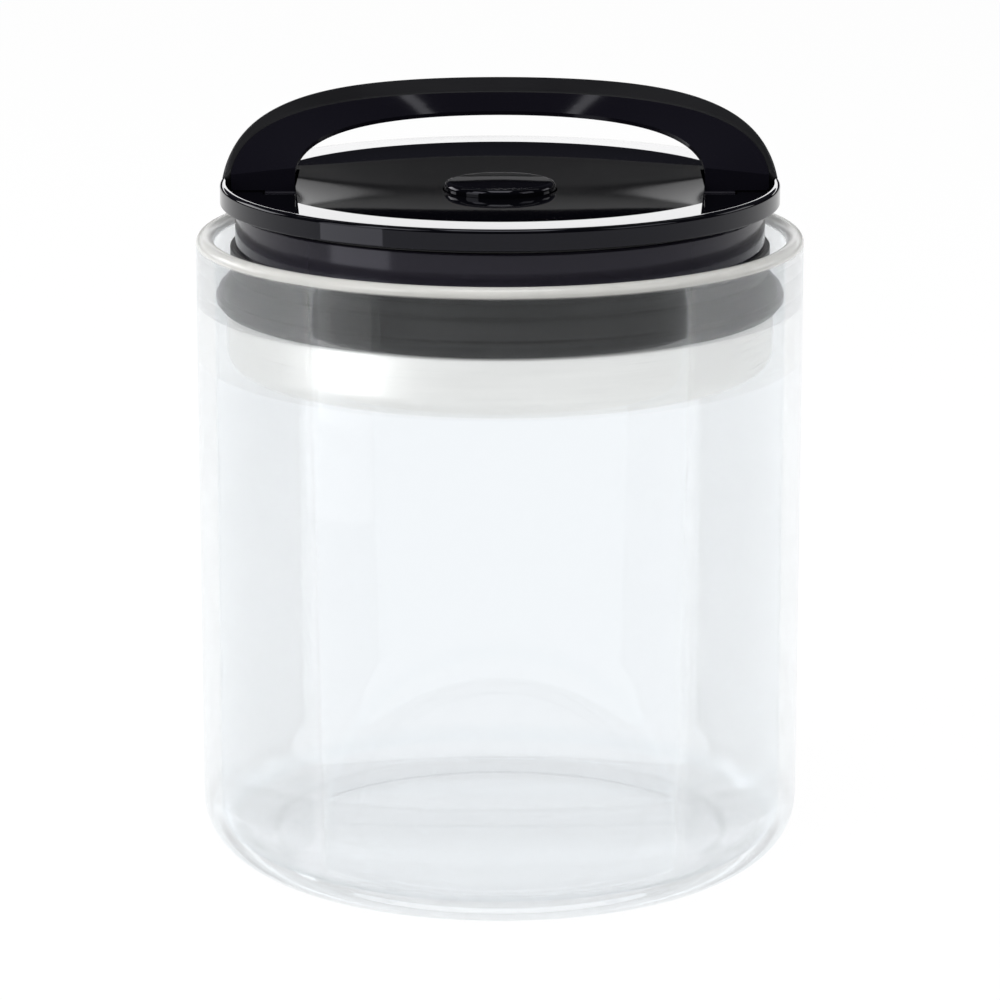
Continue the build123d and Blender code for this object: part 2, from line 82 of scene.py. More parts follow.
camera = bpy.data.objects.new("camera", bpy.data.cameras.new("camera"))
scene.collection.objects.link(camera)
scene.camera = camera
away = Vector((0, -math.cos(CAMERA_PITCH), math.sin(CAMERA_PITCH)))
camera.location = CAMERA_AIM + away * CAMERA_DISTANCE
camera.rotation_mode = "QUATERNION"
camera.rotation_quaternion = (-away).to_track_quat("-Z", "Y")
camera.data.lens = CAMERA_LENS
camera.data.clip_start = NEAREST_SEEN
camera.data.clip_end = FARTHEST_SEEN
print("camera at", tuple(round(v, 4) for v in camera.location))

# %% [markdown]
# ## Shader arithmetic
# Materials are easier to read as formulas. A `Field` wraps one shader socket, and adding or
# multiplying fields adds the Math node that does it. A `Paint` is one node tree: its plain numbers
# go straight on the shader, and only what varies over the surface is worked out with nodes. Every
# node comes from its one method `node`, which takes the settings first and then the sockets.

# %% Shader helpers
class Field:
    """A socket that varies over a surface, with arithmetic."""

    def __init__(self, paint, socket):
        self.paint = paint
        self.socket = socket

    def math(self, operation, *values):
        return self.paint.node("ShaderNodeMath", {"operation": operation}, *values)

    def __add__(self, other):
        return self.math("ADD", self, other)

    def __radd__(self, other):
        return self.math("ADD", other, self)

    def __sub__(self, other):
        return self.math("SUBTRACT", self, other)

    def __rsub__(self, other):
        return self.math("SUBTRACT", other, self)

    def __mul__(self, other):
        return self.math("MULTIPLY", self, other)

    def __rmul__(self, other):
        return self.math("MULTIPLY", other, self)

    def clamp(self):
        return self.paint.node("ShaderNodeClamp", {}, self)

    def step(self, low, high):
        """0 below low, 1 above high, smooth between."""
        kind = {"interpolation_type": "SMOOTHSTEP"}
        return self.paint.node("ShaderNodeMapRange", kind, self, low, high, 0.0, 1.0)


class Paint:
    """A material under construction."""

    def __init__(self, name, **constants):
        self.material = bpy.data.materials.new(name)
        self.material.use_nodes = True
        self.tree = self.material.node_tree
        self.shader = self.tree.nodes["Principled BSDF"]
        self.output = self.tree.nodes["Material Output"]
        self.set(**constants)

    def plug(self, slot, value):
        if isinstance(value, Field):
            self.tree.links.new(value.socket, slot)
        elif value is not None:
            slot.default_value = value

    def node(self, kind, settings, *sockets, output=0, **named):
        """One node, with its settings, then its sockets in order or by name."""
        made = self.tree.nodes.new(kind)
        for key, value in settings.items():
            setattr(made, key, value)
        for slot, value in zip(made.inputs, sockets):
            self.plug(slot, value)
        for key, value in named.items():
            self.plug(made.inputs[key.replace("_", " ")], value)
        return Field(self, made.outputs[output])

    def place(self):
        """Position in the frame, in metres."""
        return self.node("ShaderNodeTexCoord", {}, output="Object")

    def part(self, vector, axis):
        """One coordinate of a vector."""
        return self.node("ShaderNodeSeparateXYZ", {}, vector, output="XYZ".index(axis))

    def join(self, x, y, z):
        return self.node("ShaderNodeCombineXYZ", {}, x, y, z)

    def noise(self, vector, scale, detail=2.0, roughness=0.5):
        values = {"Vector": vector, "Scale": scale, "Detail": detail, "Roughness": roughness}
        return self.node("ShaderNodeTexNoise", {}, **values)

    def blend(self, share, first, second):
        """A colour between two others."""
        mix = self.node("ShaderNodeMix", {"data_type": "RGBA"}, share).socket.node
        for name, value in (("A_Color", first), ("B_Color", second)):
            self.plug(next(s for s in mix.inputs if s.identifier == name), value)
        return Field(self, next(s for s in mix.outputs if s.identifier == "Result_Color"))

    def layer(self, share, under, over):
        """One shader laid over another by a share."""
        return self.node("ShaderNodeMixShader", {}, share, under, over)

    def own(self):
        """The material's own main shader, to lay others over."""
        return Field(self, self.shader.outputs[0])

    def show(self, shader):
        """Makes a shader the one that the surface shows."""
        self.plug(self.output.inputs["Surface"], shader)
        return self.material

    def ray(self, *kinds):
        """1 for rays of the named kinds and 0 for the others."""
        seen = 0.0
        for kind in kinds:
            seen = self.node("ShaderNodeLightPath", {}, output=f"Is {kind} Ray") + seen
        return seen.clamp()

    def around(self):
        """Angle round the Z axis, height, and distance from the axis."""
        place = self.place()
        x, y, height = (self.part(place, axis) for axis in "XYZ")
        radius = x.math("SQRT", x * x + y * y)
        angle = x.math("ARCTAN2", y, x)
        return angle, height, radius

    def set(self, **values):
        for key, value in values.items():
            self.plug(self.shader.inputs[key.replace("_", " ")], value)
        return self

    def bump(self, height, distance, strength):
        values = {"Height": height, "Distance": distance, "Strength": strength}
        return self.set(Normal=self.node("ShaderNodeBump", {}, **values))


def linear(level):
    """The light value of a 0-255 display value, by the usual display curve."""
    return ((level / 255 + 0.055) / 1.055) ** 2.4 if level > 10 else level / 255 / 12.92


def tone(red, green, blue):
    """A colour from the 0-255 values that it should show."""
    return (linear(red), linear(green), linear(blue), 1.0)


def grey(level):
    return tone(level, level, level)


WHITE = (1.0, 1.0, 1.0, 1.0)
print("mid grey 128 is", round(grey(128)[0], 3))

# %% [markdown]
# ## Room
# The photograph is a cut-out on plain white. Camera and glass rays see a white room. Gloss black is
# nearly all reflection, so for glossy rays the room is white only up to just under the horizon,
# black across it, because that is what the hollow dish mirrors under the handle, and dim higher up.
# A flat black face seen at a low angle mirrors whatever stands low behind the object. The steps
# between them are given by the height of a ray's direction: 0 is level and 1 is straight up.

# %% World
ROOM_LIGHT = 0.62
CEILING = (0.03, 0.03, 0.04, 1.0)
DARKNESS = (0.001, 0.001, 0.002, 1.0)
WHITE_ENDS = (-0.05, -0.02)
DARKNESS_ENDS = (0.08, 0.3)

world = bpy.data.worlds.new("studio")
scene.world = world
world.use_nodes = True


class Sky(Paint):
    """The world's node tree."""

    def __init__(self, world):
        self.tree = world.node_tree
        self.shader = self.tree.nodes["Background"]


sky = Sky(world)
upward = sky.part(sky.node("ShaderNodeTexCoord", {}, output="Generated"), "Z")
low_room = sky.blend(upward.step(*WHITE_ENDS), WHITE, DARKNESS)
glossy_room = sky.blend(upward.step(*DARKNESS_ENDS), low_room, CEILING)
lit_room = (ROOM_LIGHT, ROOM_LIGHT, ROOM_LIGHT, 1.0)
colour = sky.blend(sky.ray("Glossy"), lit_room, glossy_room)
sky.set(Color=sky.blend(sky.ray("Camera", "Transmission"), colour, WHITE))
print("world nodes:", len(sky.tree.nodes))

# %% [markdown]
# The floor is one large sheet. Most of what a camera, mirror or glass ray sees of it is its own
# plain white, and the small remainder is paper lit by the lamps, which keeps the soft shadow under
# the jar.

# %% Floor
FLOOR_SIZE = 8.0
FLOOR_DROP = 0.0002
PAPER_SHARE = 0.08
MIRROR_SHARE = 0.78
PAPER_WHITE = (0.95, 0.95, 0.95, 1.0)
PAPER_ROUGHNESS = 0.9

floor_mesh = bpy.data.meshes.new("floor")
half = FLOOR_SIZE / 2
corners = [(-half, -half, 0), (half, -half, 0), (half, half, 0), (-half, half, 0)]
floor_mesh.from_pydata(corners, [], [(0, 1, 2, 3)])
floor = bpy.data.objects.new("floor", floor_mesh)
scene.collection.objects.link(floor)
floor.location.z = -FLOOR_DROP

paper = Paint(
    "paper", Roughness=PAPER_ROUGHNESS, Specular_IOR_Level=0.0, Base_Color=PAPER_WHITE
)
glow = paper.node("ShaderNodeEmission", {}, WHITE, 1.0)
seen = paper.ray("Camera", "Transmission") * (1 - PAPER_SHARE)
share = (seen + paper.ray("Glossy") * MIRROR_SHARE).clamp()
floor_mesh.materials.append(paper.show(paper.layer(share, paper.own(), glow)))
print("floor:", FLOOR_SIZE, "m")

# %% [markdown]
# The lamps are large soft boxes: one above, one at the upper left, a weaker one at the right, one
# at each side a little behind for the rims, a narrow strip overhead for the handle's crease, a card
# that stands at the front left, and a low strip behind. Curved gloss mirrors the card as one
# upright highlight, and the flat deck mirrors the strip as a clean white band, while the hollow
# dish beside it mostly mirrors the dark underside of the handle. A lamp's brightness is its power
# over its area and pi, so each is given by its brightness and size. No lamp shows itself to the
# camera or through the glass.

# %% Lamps
LID_AIM = (0, 0, 0.12)
CARD_AIM = (0, 0, 0.17)
LAMPS = (
    # name, place, size, brightness, aim
    ("top", (0, -0.25, 1.3), (0.6, 0.6), 4.5, LID_AIM),
    ("key_left", (-0.9, -0.7, 1.1), (0.6, 0.6), 3.5, LID_AIM),
    ("fill_right", (1.0, -0.5, 0.8), (0.6, 0.6), 1.8, LID_AIM),
    ("rim_left", (-1.3, 0.75, 0.65), (0.9, 0.5), 4.0, LID_AIM),
    ("rim_right", (1.3, 0.6, 0.6), (0.6, 0.4), 1.8, LID_AIM),
    ("crease_strip", (0, 0.55, 1.25), (2.2, 0.08), 1.6, LID_AIM),
    ("card_left", (-0.33, -0.2, 0.17), (0.19, 0.34), 1.9, CARD_AIM),
    ("strip_behind", (0, 3.0, 0.675), (3.6, 0.17), 2.5, LID_AIM),
)


def softbox(name, place, size, brightness, aim):
    """A rectangular lamp of a given brightness that points at the object."""
    data = bpy.data.lights.new(name, "AREA")
    data.shape = "RECTANGLE"
    data.size, data.size_y = size
    data.energy = brightness * math.pi * size[0] * size[1]
    lamp = bpy.data.objects.new(name, data)
    scene.collection.objects.link(lamp)
    lamp.location = place
    lamp.rotation_mode = "QUATERNION"
    lamp.rotation_quaternion = (Vector(aim) - Vector(place)).to_track_quat("-Z", "Y")
    lamp.visible_camera = False
    lamp.visible_transmission = False


for row in LAMPS:
    softbox(*row)
print("lamps:", [row[0] for row in LAMPS])

# %% [markdown]
# ## Meshes
# Round pieces are turned from an outline, like on a lathe. Corners are rounded in the outline
# itself, so the mesh has its soft edges before it is turned. Weighted normals keep large flat faces
# looking flat right up to their rounded edges.

# %% Mesh helpers
SHARP_ANGLE = math.radians(32)
ROUND_STEPS = 256
ON_AXIS = 1e-6


def add_object(name, mesh, body, slot):
    """Puts a mesh in the scene as a piece that rides on a body, in its slot's material."""
    made = bpy.data.objects.new(name, mesh)
    scene.collection.objects.link(made)
    mesh.materials.clear()
    mesh.materials.append(materials[slot])
    for face in mesh.polygons:
        face.use_smooth = True
    mesh.set_sharp_from_angle(angle=SHARP_ANGLE)
    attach(made, body)
    return made


def even_shading(piece):
    """Large faces keep their own direction, and the faces of a rounded edge take up the turn."""
    even = piece.modifiers.new("even shading", "WEIGHTED_NORMAL")
    even.keep_sharp = True


def rounded(points, steps):
    """An outline of (x, y, radius) corners with each corner replaced by a true arc."""
    made = []
    for i, (x, y, radius) in enumerate(points):
        here = Vector((x, y))
        if radius <= 0:
            made.append(here)
            continue
        before = (Vector(points[i - 1][:2]) - here).normalized()
        after = (Vector(points[(i + 1) % len(points)][:2]) - here).normalized()
        half = before.angle(after) / 2
        centre = here + (before + after).normalized() * radius / math.sin(half)
        start = here + before * radius / math.tan(half) - centre
        side = 1 if before.cross(after) < 0 else -1
        for step in range(steps + 1):
            turn = Matrix.Rotation(side * (math.pi - 2 * half) * step / steps, 2)
            made.append(centre + turn @ start)
    return made


def strip(first, second):
    """Corners of the faces between two rings; a ring of one point is a tip."""
    count = max(len(first), len(second))
    for i in range(count if count > 1 else 0):
        j = (i + 1) % count
        if len(first) == 1:
            yield first[0], second[j], second[i]
        elif len(second) == 1:
            yield first[i], first[j], second[0]
        else:
            yield first[i], first[j], second[j], second[i]


def skin(name, rings, closed=True):
    """A mesh through rings of points, joined end to end or closed by a face at each end."""
    mesh = bpy.data.meshes.new(name)
    form = bmesh.new()
    rows = [[form.verts.new(point) for point in ring] for ring in rings]
    pairs = list(zip(rows, rows[1:]))
    if closed:
        pairs.append((rows[-1], rows[0]))
    for first, second in pairs:
        for corners in strip(first, second):
            form.faces.new(corners)
    if not closed:
        for row in (rows[0], rows[-1]):
            form.faces.new(row)
    bmesh.ops.recalc_face_normals(form, faces=form.faces)
    form.to_mesh(mesh)
    form.free()
    return mesh


def turned(name, outline, segments=ROUND_STEPS):
    """A closed outline of (radius, height) turned about the Z axis."""
    angles = [2 * math.pi * step / segments for step in range(segments)]
    rings = []
    for radius, height in outline:
        if radius < ON_AXIS:
            rings.append([(0, 0, height)])
            continue
        rings.append([(radius * math.cos(t), radius * math.sin(t), height) for t in angles])
    return skin(name, rings)


# %% [markdown]
# ## Glass
# The jar has a straight wall, a thick floor and a rim that was melted round. Real glass of this
# thickness would draw dark lines along its sides, but in the photograph it is lit from all round
# and looks nearly clear. So most of each face lets light straight through with a faint cool tint,
# and the rest bends light as glass does. In the corner of the floor a deeper tint is laid over it:
# part of it is the thicker glass, and part is painted shade for the dark that bent light draws
# there.
# The melted rim is milky.

# %% Glass paint
JAR_WALL = 0.0035
JAR_FLOOR = 0.005
BASE_ROUND = 0.012
FLOOR_ROUND = 0.004
RIM_ROUND = 0.0017
FOOT_WIDTH = 0.002
PUNT_DEPTH = 0.001
BENDING_SHARE = 0.3
CORNER_SHARE = 0.7
CORNER_END_SHARE = 0.4
CORNER_FROM = 0.002
MILK_SHARES = (0.62, 0.2)
MILK_START_SHARES = (1.3, 0.9)
GLASS_TINT = (0.97, 0.985, 1.0, 1.0)
CLEAR_TINT = (0.9685, 0.978, 0.985, 1.0)
# Deeper tint for the floor's corner: partly the glass's own colour where it is thick, partly
# painted shade.
DEEP_TINT_AND_SHADE = (0.93, 0.95, 0.962, 1.0)
MILK = {"Base_Color": tone(204, 203, 199), "Roughness": 0.22, "IOR": 1.5}

jar_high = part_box("glass_jar")[1]
jar_radius, jar_top = jar_high[0], jar_high[2]
bore_radius = jar_radius - JAR_WALL
punt_radius = jar_radius - BASE_ROUND - FOOT_WIDTH - PUNT_DEPTH


def glass_paint():
    paint = Paint("glass", Roughness=0.0, IOR=1.45, Transmission_Weight=1.0, Base_Color=GLASS_TINT)
    _, height, radius = paint.around()
    waves = paint.noise(paint.place(), scale=9.0, detail=1.0)
    paint.bump(waves, distance=0.00006, strength=0.2)
    clear = paint.node("ShaderNodeBsdfTransparent", {}, CLEAR_TINT)
    deep_tint_and_shade = paint.node("ShaderNodeBsdfTransparent", {}, DEEP_TINT_AND_SHADE)
    milk = paint.node("ShaderNodeBsdfPrincipled", {}, **MILK)
    # Painted shade: this corner mask lays the deeper tint where bent light would darken the thick
    # glass, on top of the glass's own deeper colour there.
    corner_tint_and_shade = radius.step(bore_radius - FLOOR_ROUND, bore_radius - CORNER_END_SHARE * FLOOR_ROUND)
    corner_tint_and_shade = corner_tint_and_shade * (1 - height.step(JAR_FLOOR, JAR_FLOOR + FLOOR_ROUND))
    corner_tint_and_shade = corner_tint_and_shade * height.step(CORNER_FROM, JAR_FLOOR)
    rim = height.step(*(jar_top - share * RIM_ROUND for share in MILK_START_SHARES))
    cloud = paint.noise(paint.place(), scale=160.0, detail=3.0)
    body = paint.layer(BENDING_SHARE, clear, paint.own())
    body = paint.layer(corner_tint_and_shade * CORNER_SHARE, body, deep_tint_and_shade)
    body = paint.layer(rim * (cloud * MILK_SHARES[1] + MILK_SHARES[0]), body, milk)
    return paint.show(paint.layer(paint.ray("Shadow", "Diffuse"), body, clear))


# %% [markdown]
# ## Plastics, rubber and steel
# Gloss black plastic is nearly all reflection, so its roughness carries the look: faint sink marks
# and a trace of fingerprints. The grip is the same black with a fine matt grain. Rubber is greyer
# and rougher, with a thin bloom. The pan is brushed round its axis. Its lines, and the flow lines
# of the rubber, are noise in stretched coordinates: the angle counts for little, and height and
# radius for much. Where a finish is given its mean roughness, half of each noise's share is taken
# off, because a noise averages one half.

# %% Finishes
COOL_SHINE = (0.88, 0.88, 1.0, 1.0)
CLOUD_ENDS = (0.3, 0.7)
MOTTLE_ENDS = (0.35, 0.65)
FLOW_TURN, FLOW_ACROSS = 0.8, 600.0
BRUSH_TURN, BRUSH_ACROSS = 0.35, 900.0
BROAD_TURN, BROAD_ACROSS = 0.6, 60.0
STREAK_DIMMING = 0.9


def gloss_black(name, colour, roughness=0.035):
    """Moulded gloss plastic with a slightly cool shine."""
    paint = Paint(name, IOR=1.33, Base_Color=colour, Specular_Tint=COOL_SHINE)
    place = paint.place()
    smear = paint.noise(place, scale=60.0, detail=4.0)
    fine = paint.noise(place, scale=900.0, detail=2.0)
    paint.set(Roughness=(smear * 0.03 + fine * 0.01 + (roughness - 0.02)).clamp())
    sink = paint.noise(place, scale=25.0, detail=1.0)
    return paint.bump(sink, distance=0.00008, strength=0.1).material


def grip_paint():
    """Soft matt plastic with a fine grain."""
    paint = Paint("grip_matt", IOR=1.4, Specular_IOR_Level=0.3)
    place = paint.place()
    cloud = paint.noise(place, scale=45.0, detail=3.0)
    mottle = cloud.step(*CLOUD_ENDS)
    paint.set(Base_Color=paint.blend(mottle, tone(17, 17, 19), tone(24, 24, 26)))
    paint.set(Roughness=cloud * 0.12 + 0.42)
    grain = paint.noise(place, scale=2600.0, detail=2.0)
    return paint.bump(grain, distance=0.00003, strength=0.3).material


def rubber_paint():
    """Silicone rubber: dark grey, with fine flow lines round it."""
    paint = Paint("silicone_grey", IOR=1.32, Specular_IOR_Level=0.3)
    angle, height, radius = paint.around()
    cloud = paint.noise(paint.place(), scale=55.0, detail=4.0)
    lines = paint.join(angle * FLOW_TURN, height * FLOW_ACROSS, radius * FLOW_ACROSS)
    lines = paint.noise(lines, scale=3.0, detail=3.0)
    mottle = (cloud * 0.6 + lines * 0.4).step(*MOTTLE_ENDS)
    paint.set(Base_Color=paint.blend(mottle, grey(34), grey(46)))
    paint.set(Roughness=cloud * 0.12 + 0.3)
    return paint.bump(lines, distance=0.00002, strength=0.2).material


def brushed_paint(name, colour, roughness):
    """Steel brushed round the Z axis."""
    paint = Paint(name, Metallic=1.0)
    angle, height, radius = paint.around()
    lines = paint.join(angle * BRUSH_TURN, height * BRUSH_ACROSS, radius * BRUSH_ACROSS)
    lines = paint.noise(lines, scale=4.0, detail=4.0, roughness=0.7)
    broad = paint.join(angle * BROAD_TURN, height * BROAD_ACROSS, radius * BROAD_ACROSS)
    broad = paint.noise(broad, scale=3.0, detail=2.0)
    dark = tuple(c * STREAK_DIMMING for c in colour[:3]) + (1.0,)
    streak = (lines * 0.6 + broad * 0.4).step(*CLOUD_ENDS)
    paint.set(Base_Color=paint.blend(streak, dark, colour))
    paint.set(Roughness=(lines * 0.16 + (roughness - 0.08)).clamp())
    return paint.bump(lines, distance=0.00001, strength=0.2).material


def plain_plastic(name, dark, light, roughness):
    """Inner moulded plastic with a faint cloudiness."""
    paint = Paint(name, IOR=1.45)
    cloud = paint.noise(paint.place(), scale=70.0, detail=3.0)
    grain = paint.noise(paint.place(), scale=1800.0, detail=2.0)
    paint.set(Base_Color=paint.blend(cloud.step(*CLOUD_ENDS), dark, light))
    paint.set(Roughness=cloud * 0.1 + (roughness - 0.05))
    return paint.bump(grain, distance=0.00003, strength=0.25).material


# %% [markdown]
# Each material slot of the record gets one finish here, and every node of the CAD model takes the
# finish of its slot. The finer meshes further down then take theirs from the same table.

# %% Materials
DEEP_BLACK = tone(6, 6, 9)

materials = {
    "glass": glass_paint(),
    "silicone": rubber_paint(),
    "steel": brushed_paint("steel_brushed", tone(250, 248, 244), 0.3),
    "collar_black": gloss_black("collar_black", tone(24, 22, 29), 0.12),
    "cover_black": gloss_black("cover_black", DEEP_BLACK),
    "handle_black": gloss_black("handle_black", tone(13, 12, 18), 0.09),
    "button_black": gloss_black("button_black", DEEP_BLACK),
    "grip_black": grip_paint(),
    "seal_rubber": plain_plastic("seal_rubber", grey(14), grey(22), 0.6),
    "screw_steel": brushed_paint("screw_steel", grey(205), 0.28),
    "inner_plastic": plain_plastic("inner_plastic", grey(60), grey(74), 0.55),
    "bush_plastic": plain_plastic("bush_plastic", grey(215), grey(228), 0.4),
}
slots = {row["node"]: row["material_slot"] for row in frame["record"]["subparts"]}
for name, node in nodes.items():
    node.data.materials.clear()
    node.data.materials.append(materials[slots[name]])
print("materials:", sorted(materials))

# %% [markdown]
# ## Glass jar
# The jar is turned with its inside and outside in one closed outline, from the hollow under the
# base round to the floor inside, so that light meets a true wall of glass.

# %% Jar
JAR_ARC_STEPS = 12

jar_outline = rounded([
    (0.0, PUNT_DEPTH, 0),
    (punt_radius, PUNT_DEPTH, PUNT_DEPTH),
    (punt_radius + PUNT_DEPTH, 0.0, PUNT_DEPTH),
    (jar_radius, 0.0, BASE_ROUND),
    (jar_radius, jar_top, RIM_ROUND),
    (bore_radius, jar_top, RIM_ROUND),
    (bore_radius, JAR_FLOOR, FLOOR_ROUND),
    (0.0, JAR_FLOOR, 0),
], JAR_ARC_STEPS)
jar = add_object("jar_glass", turned("jar_glass", jar_outline), "jar", "glass")
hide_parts("glass_jar")
print("jar faces:", len(jar.data.polygons))

# %% [markdown]
# ## Gasket
# The gasket is moulded rubber. A wide lip flares out near its foot and wipes the glass. A shallow
# groove and a second, slightly smaller ridge follow right above it, the face slopes in from there
# to a waist, and above that stands a narrow band with one fine groove round it. The waist and the
# grooves draw the dark lines that run round it in the photograph. It is turned from its own
# outline, given by shares of its overhang past the collar and of its height.

# %% Gasket
SEAT_DEPTH = 0.0015
FOOT_REACH = 0.0033
FOOT_HEIGHT = 0.0012
LIP_SOFTNESS = 0.00022
LIP_ARC_STEPS = 4
LIP_SHARES = (
    (0.72, 0),
    (1, 0.11),
    (1, 0.2),
    (0.8, 0.25),
    (0.88, 0.29),
    (0.5, 0.42),
    (0.16, 0.55),
    (0.26, 0.6),
    (0.26, 0.78),
    (0.18, 0.8),
    (0.26, 0.82),
    (0.26, 0.97),
    (0.16, 1),
)

gasket_low, gasket_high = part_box("gasket")
collar_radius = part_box("collar_housing")[1][0]
gasket_base, gasket_top = gasket_low[2], gasket_high[2]
overhang, gasket_height = gasket_high[0] - collar_radius, gasket_top - gasket_base
seat_radius = collar_radius - SEAT_DEPTH
foot_radius = seat_radius - FOOT_REACH
foot_top = gasket_base + FOOT_HEIGHT
gasket_outline = [
    (collar_radius + out * overhang, gasket_base + up * gasket_height, LIP_SOFTNESS)
    for out, up in LIP_SHARES
]
gasket_outline += [
    (seat_radius, gasket_top, 0),
    (seat_radius, foot_top, 0),
    (foot_radius, foot_top, 0),
    (foot_radius, gasket_base, 0),
]
gasket_mesh = turned("gasket_lip", rounded(gasket_outline, LIP_ARC_STEPS))
gasket = add_object("gasket_lip", gasket_mesh, "lid", "silicone")
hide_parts("gasket")
print("gasket faces:", len(gasket.data.polygons))

# %% [markdown]
# ## Steel pan
# The pan is pressed from thin sheet: a soft bottom corner, a straight side and a rim turned in
# under the gasket's foot. Its wall is turned with its real thickness.

# %% Pan
PAN_WALL = 0.0006
PAN_ROUND = 0.004
PAN_RIM_ROUND = 0.0005
PAN_HOLE = 0.0103
PAN_ARC_STEPS = 8

pan_low, pan_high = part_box("steel_pan")
pan_radius, pan_base, pan_top = pan_high[0], pan_low[2], pan_high[2]
pan_inside = pan_radius - PAN_WALL
pan_outline = rounded([
    (foot_radius, pan_top, 0),
    (pan_radius, pan_top, PAN_RIM_ROUND),
    (pan_radius, pan_base, PAN_ROUND),
    (PAN_HOLE, pan_base, 0),
    (PAN_HOLE, pan_base + PAN_WALL, 0),
    (pan_inside, pan_base + PAN_WALL, PAN_ROUND - PAN_WALL),
    (pan_inside, pan_top - PAN_WALL, 0),
    (foot_radius, pan_top - PAN_WALL, 0),
], PAN_ARC_STEPS)
pan = add_object("pan_sheet", turned("pan_sheet", pan_outline), "lid", "steel")
even_shading(pan)
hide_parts("steel_pan")
print("pan faces:", len(pan.data.polygons))

# %% [markdown]
# ## Top cover
# The cover is one gloss moulding: a ring, a narrow flat deck, and a dish that is hollowed by only
# two millimetres. That slight hollow is what turns the reflection from white to dark, so the dish
# is turned with many steps, and an extra ring of points on each side of its edge keeps the change
# crisp. The pockets for the handle's legs are cut out of the turned body afterwards, over a tray
# that closes them below. The hidden screw bosses and pin bores of the solid are left out here.

# %% Cover sizes
RING_HEIGHT = 0.0042
RING_EDGE = 0.0008
DECK_WIDTH = 0.0085
DECK_WALL = 0.0015
DISH_DEPTH = 0.002
DISH_WALL = 0.001
DISH_STEPS = 28
SUPPORT = 0.00008
SKIRT_INSET = 0.0051
SKIRT_WALL = 0.0012
SKIRT_DEPTH = 0.0055
BUTTON_GAP = 0.0003
GUIDE_WALL = 0.001
GUIDE_DEPTH = 0.0017
COVER_ARC_STEPS = 8
COVER_STEPS = 384

button_low, button_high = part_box("valve_button")
cover_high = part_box("top_cover")[1]
ring_radius, deck_top = cover_high[0], cover_high[2]
ring_base = deck_top - RING_HEIGHT
dish_radius = ring_radius - DECK_WIDTH
dish_sweep = (dish_radius ** 2 + DISH_DEPTH ** 2) / (2 * DISH_DEPTH)
hole_radius = button_high[0] + BUTTON_GAP
skirt_radius = ring_radius - SKIRT_INSET
print("dish sweep, mm:", round(dish_sweep * 1000, 1))

# %% [markdown]
# The body's outline runs along the hollow of the dish to its edge, over the deck and the ring, down
# and up the skirt, and back underneath to the short guide round the button's hole.

# %% Cover body
def dish_level(radius):
    """Height of the dish's hollow face at a distance from the middle."""
    return deck_top - DISH_DEPTH + dish_sweep - math.sqrt(dish_sweep ** 2 - radius ** 2)


def cover_outline():
    guide_radius = hole_radius + GUIDE_WALL
    guide_base = dish_level(hole_radius) - DISH_WALL - GUIDE_DEPTH
    skirt_inside = skirt_radius - SKIRT_WALL
    skirt_base = ring_base - SKIRT_DEPTH
    span = dish_radius - SUPPORT - hole_radius
    radii = [hole_radius + span * step / DISH_STEPS for step in range(DISH_STEPS + 1)]
    dish = [(radius, dish_level(radius), 0) for radius in radii]
    ring = [
        (dish_radius, deck_top, 0),
        (dish_radius + SUPPORT, deck_top, 0),
        (ring_radius, deck_top, RING_EDGE),
        (ring_radius, ring_base, RING_EDGE / 2),
        (skirt_radius, ring_base, 0),
        (skirt_radius, skirt_base, 0),
        (skirt_inside, skirt_base, 0),
        (skirt_inside, deck_top - DECK_WALL, 0),
        (dish_radius, deck_top - DISH_WALL - DISH_WALL / 2, 0),
        (guide_radius, dish_level(guide_radius) - DISH_WALL, 0),
        (guide_radius, guide_base, 0),
        (hole_radius, guide_base, 0),
    ]
    return rounded(dish + ring, COVER_ARC_STEPS)


# %% [markdown]
# The legs of the handle stand in two pockets, each with an inner side that slants at the front and
# a round outer wall. Below each pocket is a room for the hinge's barrel, open to the pocket where
# the leg's neck passes. These hollows are given as rings of points, like every other mesh here.
# The slant is near the solid's, but not the same.

# %% Pockets and hinge rooms
POCKET_DEPTH = 0.0025
POCKET_REACH = 0.0151
POCKET_RIM = 0.0011
POCKET_BACK = 0.014
POCKET_SLANT = 0.0027
SLANT_SHARE = 0.8
SLANT_PLACE = -0.005
POCKET_STEPS = 96
TRAY_WALL = 0.0012
HINGE_PLACE = -0.0005
HINGE_BELOW_DECK = 0.0043
BARREL_RADIUS = 0.0022
BARREL_GAP = 0.0004
BARREL_STEPS = 48
KNUCKLE_LENGTH = 0.0058
NECK_ROOM = 0.0054

pocket_floor = deck_top - POCKET_DEPTH
pocket_wall = ring_radius - POCKET_REACH
hinge_height = deck_top - HINGE_BELOW_DECK
knuckle_start = pocket_wall + BARREL_GAP
knuckle_end = knuckle_start + KNUCKLE_LENGTH
room_end = knuckle_end + BARREL_GAP


def prism(outline, low, high):
    """Rings of an upright block over an outline in plan."""
    return [[(x, y, z) for x, y in outline] for z in (low, high)]


def rod(radius, start, end):
    """Rings of a round bar along X at the hinge's axis."""
    turns = [2 * math.pi * step / BARREL_STEPS for step in range(BARREL_STEPS)]
    circle = [
        (HINGE_PLACE + radius * math.cos(t), hinge_height + radius * math.sin(t)) for t in turns
    ]
    return [[(x, y, z) for y, z in circle] for x in (start, end)]


def pocket_plan(grow, reach):
    """A pocket in plan: a slanted inner side, closed outside by a round wall."""
    wall, back = pocket_wall - grow, POCKET_BACK + grow
    low_angle = -math.acos((wall - POCKET_SLANT * SLANT_SHARE) / reach)
    turn = math.asin(back / reach) - low_angle
    arc = [low_angle + turn * step / POCKET_STEPS for step in range(POCKET_STEPS + 1)]
    outer = [(reach * math.cos(angle), reach * math.sin(angle)) for angle in arc]
    return outer + [(wall, back), (wall, SLANT_PLACE)]


